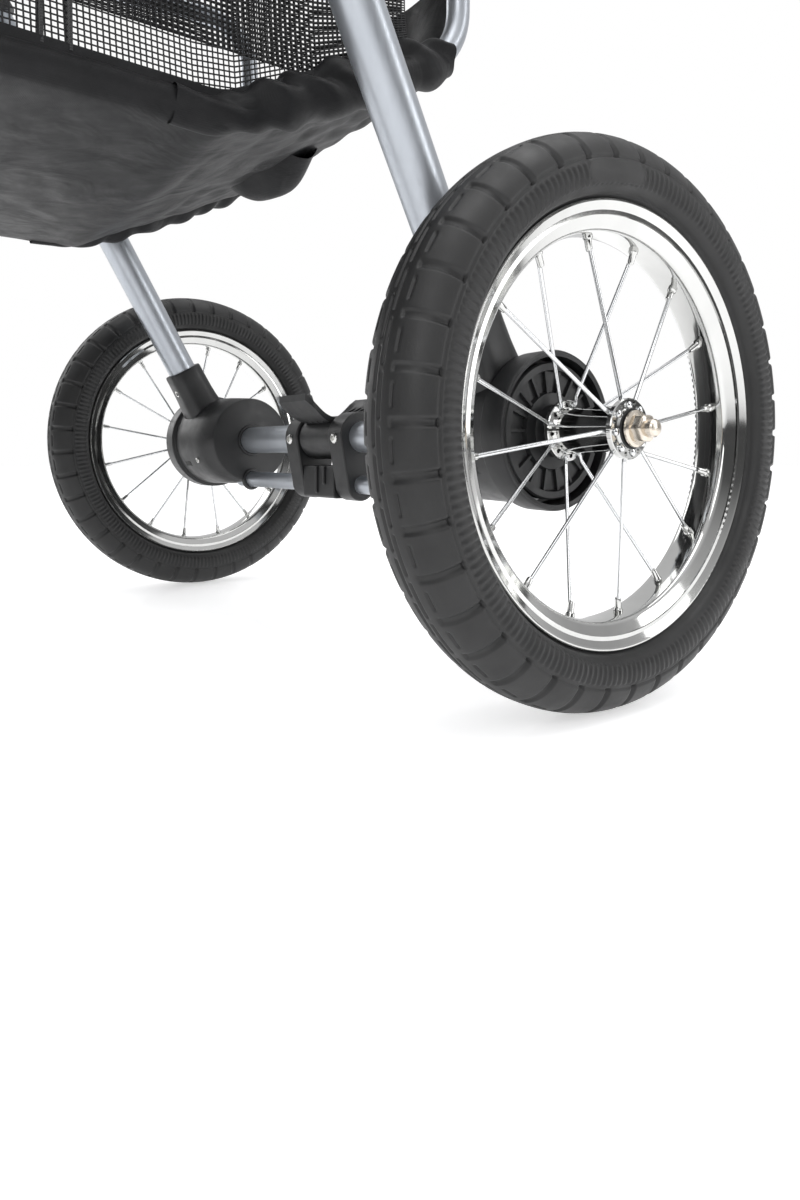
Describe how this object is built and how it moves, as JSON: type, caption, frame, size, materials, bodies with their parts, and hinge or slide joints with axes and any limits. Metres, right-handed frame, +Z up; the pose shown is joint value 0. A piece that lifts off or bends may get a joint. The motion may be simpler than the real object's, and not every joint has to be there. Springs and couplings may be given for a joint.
{
  "type": "baby stroller",
  "caption": "Folding all-terrain pushchair with spoked air-tyred wheels, swivel front fork, twin-tube rear axle with foot brake, reclining seat, hood and basket.",
  "frame": {"origin": "on the floor, under the middle of the bounding box", "axes": "+Z up, -Y the way the stroller is pushed, +X its left side"},
  "size_m": [0.6, 0.9492, 1.118],
  "materials": {
    "tyre": "moulded tread, matt",
    "chrome": "polished",
    "frame_tube": "satin anodised",
    "plastic": "satin moulded",
    "steel": "zinc plated",
    "fabric": "woven nylon",
    "mesh": "open mesh and woven nylon",
    "foam": "foam"
  },
  "bodies": {
    "chassis": {"front_tube_left": "frame_tube", "front_tube_right": "frame_tube", "frame_disc_left": "plastic", "frame_disc_right": "plastic", "pivot_bolt_left": "steel", "pivot_bolt_right": "steel", "steering_head": "plastic", "footrest_tube": "frame_tube", "footrest_plate": "plastic", "seat_front_bar": "frame_tube", "seat_sling_bar": "frame_tube", "seat_board": "plastic", "seat_pad": "fabric", "basket_hoop": "frame_tube", "basket": "mesh"},
    "fork": {"front_fork": "plastic", "stem_cap": "plastic", "front_axle": "steel"},
    "front_wheel": {"front_tyre": "tyre", "front_rim": "chrome", "front_hub": "chrome"},
    "rear_frame": {"rear_leg_left": "frame_tube", "rear_leg_right": "frame_tube", "leg_disc_left": "plastic", "leg_disc_right": "plastic", "drum_housing_left": "plastic", "drum_housing_right": "plastic", "axle_tube": "frame_tube", "brake_tube_left": "frame_tube", "brake_tube_right": "frame_tube", "axle_cheek_left": "plastic", "axle_cheek_right": "plastic", "brake_block": "plastic", "rear_axle_left": "steel", "rear_axle_right": "steel"},
    "rear_wheel_left": {"rear_tyre_left": "tyre", "rear_rim_left": "chrome", "rear_hub_left": "chrome", "brake_gear_left": "steel"},
    "rear_wheel_right": {"rear_tyre_right": "tyre", "rear_rim_right": "chrome", "rear_hub_right": "chrome", "brake_gear_right": "steel"},
    "brake_pedal": {"brake_pedal": "plastic"},
    "brake_rod_left": {"brake_rod_left": "steel"},
    "brake_rod_right": {"brake_rod_right": "steel"},
    "handle": {"handle_tube": "frame_tube", "handle_grip": "foam", "handle_disc_left": "plastic", "handle_disc_right": "plastic", "canopy_clamp_left": "plastic", "canopy_clamp_right": "plastic", "canopy_rib_rear": "steel"},
    "fold_collar_left": {"fold_collar_left": "plastic"},
    "fold_collar_right": {"fold_collar_right": "plastic"},
    "backrest": {"backrest_board": "plastic", "backrest_pad": "fabric"},
    "canopy_front": {"canopy_rib_front": "steel", "canopy_fabric": "fabric"}
  },
  "joints": [
    {"name": "front_swivel", "type": "hinge", "parent": "chassis", "child": "fork", "pos_m": [0, -0.36456, 0.337], "axis": [0, 0, 1], "continuous": true},
    {"name": "front_wheel_spin", "type": "hinge", "parent": "fork", "child": "front_wheel", "pos_m": [0, -0.32456, 0.15], "axis": [1, 0, 0], "continuous": true},
    {"name": "rear_leg_fold", "type": "hinge", "parent": "chassis", "child": "rear_frame", "pos_m": [0, 0.05661, 0.56029], "axis": [1, 0, 0], "range_deg": [-50, 0]},
    {"name": "rear_wheel_spin_left", "type": "hinge", "parent": "rear_frame", "child": "rear_wheel_left", "pos_m": [0.266, 0.28544, 0.15], "axis": [1, 0, 0], "continuous": true},
    {"name": "rear_wheel_spin_right", "type": "hinge", "parent": "rear_frame", "child": "rear_wheel_right", "pos_m": [-0.266, 0.28544, 0.15], "axis": [1, 0, 0], "continuous": true},
    {"name": "brake_pedal_tilt", "type": "hinge", "parent": "rear_frame", "child": "brake_pedal", "pos_m": [0, 0.28544, 0.15], "axis": [-1, 0, 0], "range_deg": [0, 24]},
    {"name": "brake_rod_slide_left", "type": "slide", "parent": "rear_frame", "child": "brake_rod_left", "axis": [1, 0, 0], "range_m": [0, 0.008]},
    {"name": "brake_rod_slide_right", "type": "slide", "parent": "rear_frame", "child": "brake_rod_right", "axis": [-1, 0, 0], "range_m": [0, 0.008]},
    {"name": "handle_fold", "type": "hinge", "parent": "chassis", "child": "handle", "pos_m": [0, 0.05661, 0.56029], "axis": [1, 0, 0], "range_deg": [0, 100]},
    {"name": "fold_collar_slide_left", "type": "slide", "parent": "handle", "child": "fold_collar_left", "axis": [0.0547, 0.6524, 0.7559], "range_m": [0, 0.015], "stiffness_N_per_m": 300, "springref_m": -0.005},
    {"name": "fold_collar_slide_right", "type": "slide", "parent": "handle", "child": "fold_collar_right", "axis": [-0.0547, 0.6524, 0.7559], "range_m": [0, 0.015], "stiffness_N_per_m": 300, "springref_m": -0.005},
    {"name": "seat_recline", "type": "hinge", "parent": "handle", "child": "backrest", "pos_m": [0, 0.05361, 0.5003], "axis": [-1, 0, 0], "range_deg": [0, 35]},
    {"name": "canopy_fold", "type": "hinge", "parent": "handle", "child": "canopy_front", "pos_m": [0, 0.30454, 0.84752], "axis": [1, 0, 0], "range_deg": [-60, 0], "deforming": ["canopy_fabric"]}
  ],
  "couplings": [
    {"joint": "rear_leg_fold", "follows": "handle_fold", "ratio": -0.45},
    {"joint": "brake_rod_slide_left", "follows": "brake_pedal_tilt", "m_per_rad": 0.019},
    {"joint": "brake_rod_slide_right", "follows": "brake_pedal_tilt", "m_per_rad": 0.019},
    {"joint": "fold_collar_slide_right", "follows": "fold_collar_slide_left", "ratio": 1}
  ]
}
